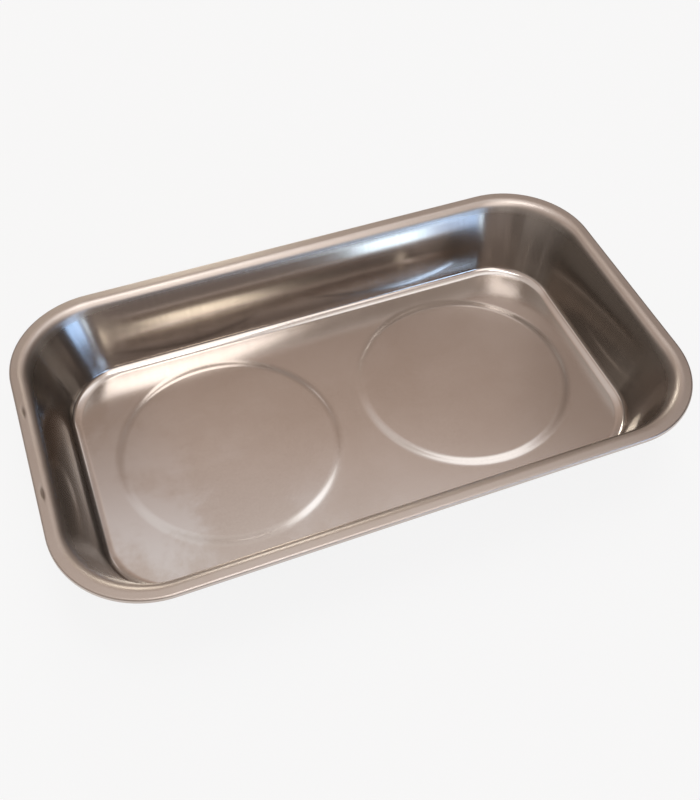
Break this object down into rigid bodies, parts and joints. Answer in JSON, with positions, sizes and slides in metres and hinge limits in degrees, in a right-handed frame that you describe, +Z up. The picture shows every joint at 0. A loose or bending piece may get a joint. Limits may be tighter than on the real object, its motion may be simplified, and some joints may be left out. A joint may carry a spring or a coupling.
{
  "type": "magnetic parts tray",
  "caption": "Rounded rectangular pressed-steel dish with a hemmed rim and raised round seats, held to steel by rubber-booted ring magnets under its floor, for keeping small parts together.",
  "frame": {"origin": "middle of the tray's outline, on the plane of the rubber soles", "axes": "+X along the dish, +Y across it, +Z up out of the dish"},
  "size_m": [0.24, 0.14, 0.0405],
  "materials": {
    "dish_steel": "satin floor and polished walls",
    "plated_steel": "bright zinc plate",
    "ferrite": "ground sintered ferrite",
    "cup_steel": "zinc plated pressing",
    "boot_rubber": "matte moulded"
  },
  "bodies": {
    "root": {"dish": "dish_steel", "stud_left": "plated_steel", "stud_right": "plated_steel", "magnet_left": "ferrite", "magnet_right": "ferrite", "cup_left": "cup_steel", "cup_right": "cup_steel", "boot_left": "boot_rubber", "boot_right": "boot_rubber", "washer_left": "plated_steel", "washer_right": "plated_steel", "spring_washer_left": "plated_steel", "spring_washer_right": "plated_steel", "nut_left": "plated_steel", "nut_right": "plated_steel"}
  },
  "joints": []
}
